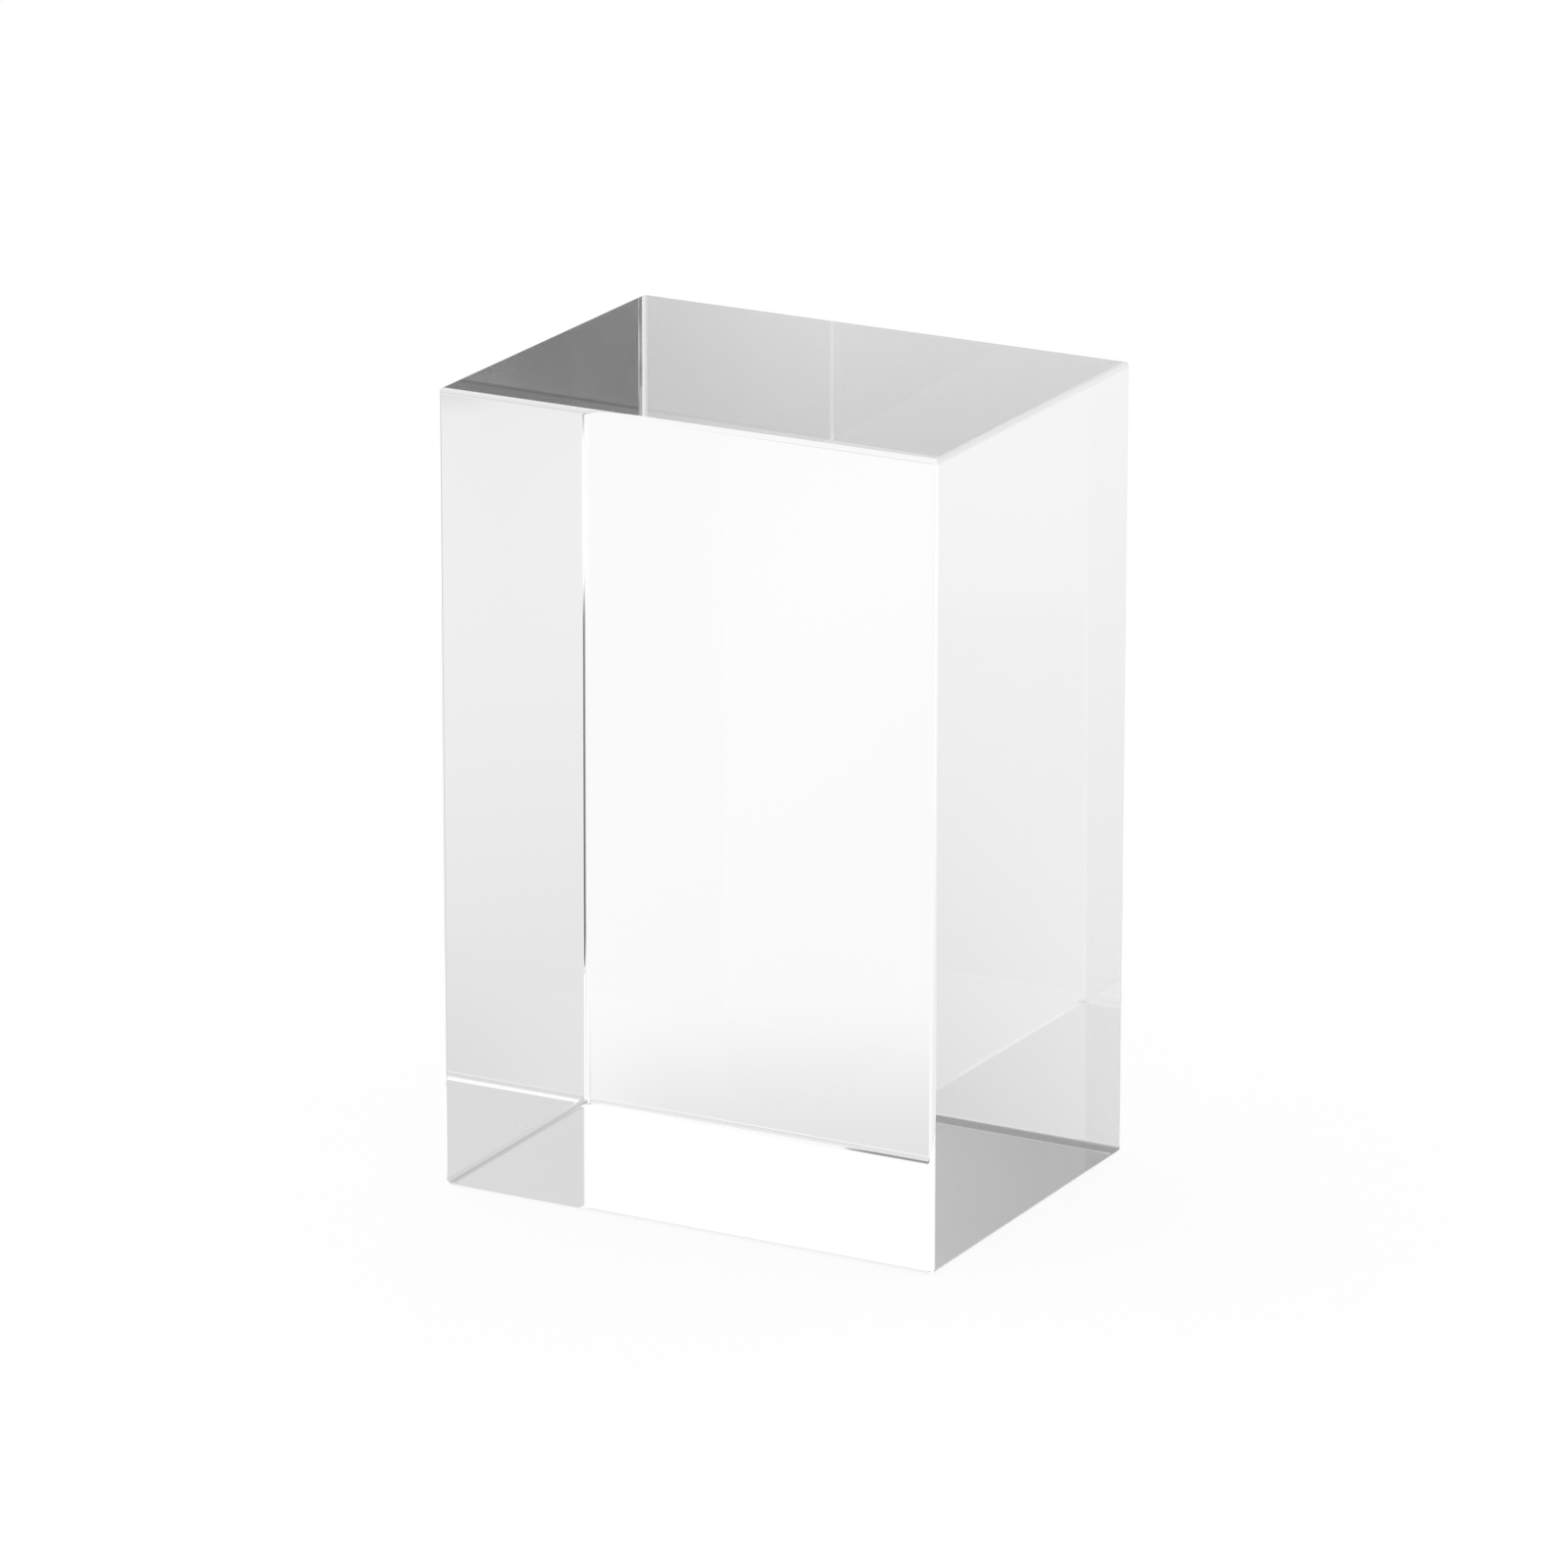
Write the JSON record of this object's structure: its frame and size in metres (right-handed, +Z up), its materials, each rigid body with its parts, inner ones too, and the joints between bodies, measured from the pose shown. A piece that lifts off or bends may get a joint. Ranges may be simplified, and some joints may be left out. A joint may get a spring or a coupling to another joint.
{
  "type": "crystal photo block",
  "caption": "Upright rectangular block of clear polished crystal glass with softly rounded edges, a blank for a picture engraved inside. It stands on its flat base.",
  "frame": {"origin": "centre of the flat base", "axes": "+Z up, +Y from the large front face to the back, +X to the right seen from the front"},
  "size_m": [0.08, 0.06, 0.12],
  "materials": {
    "crystal_glass": "clear optical glass, polished on every face and round every edge"
  },
  "bodies": {
    "root": {"crystal_block": "crystal_glass"}
  },
  "joints": []
}
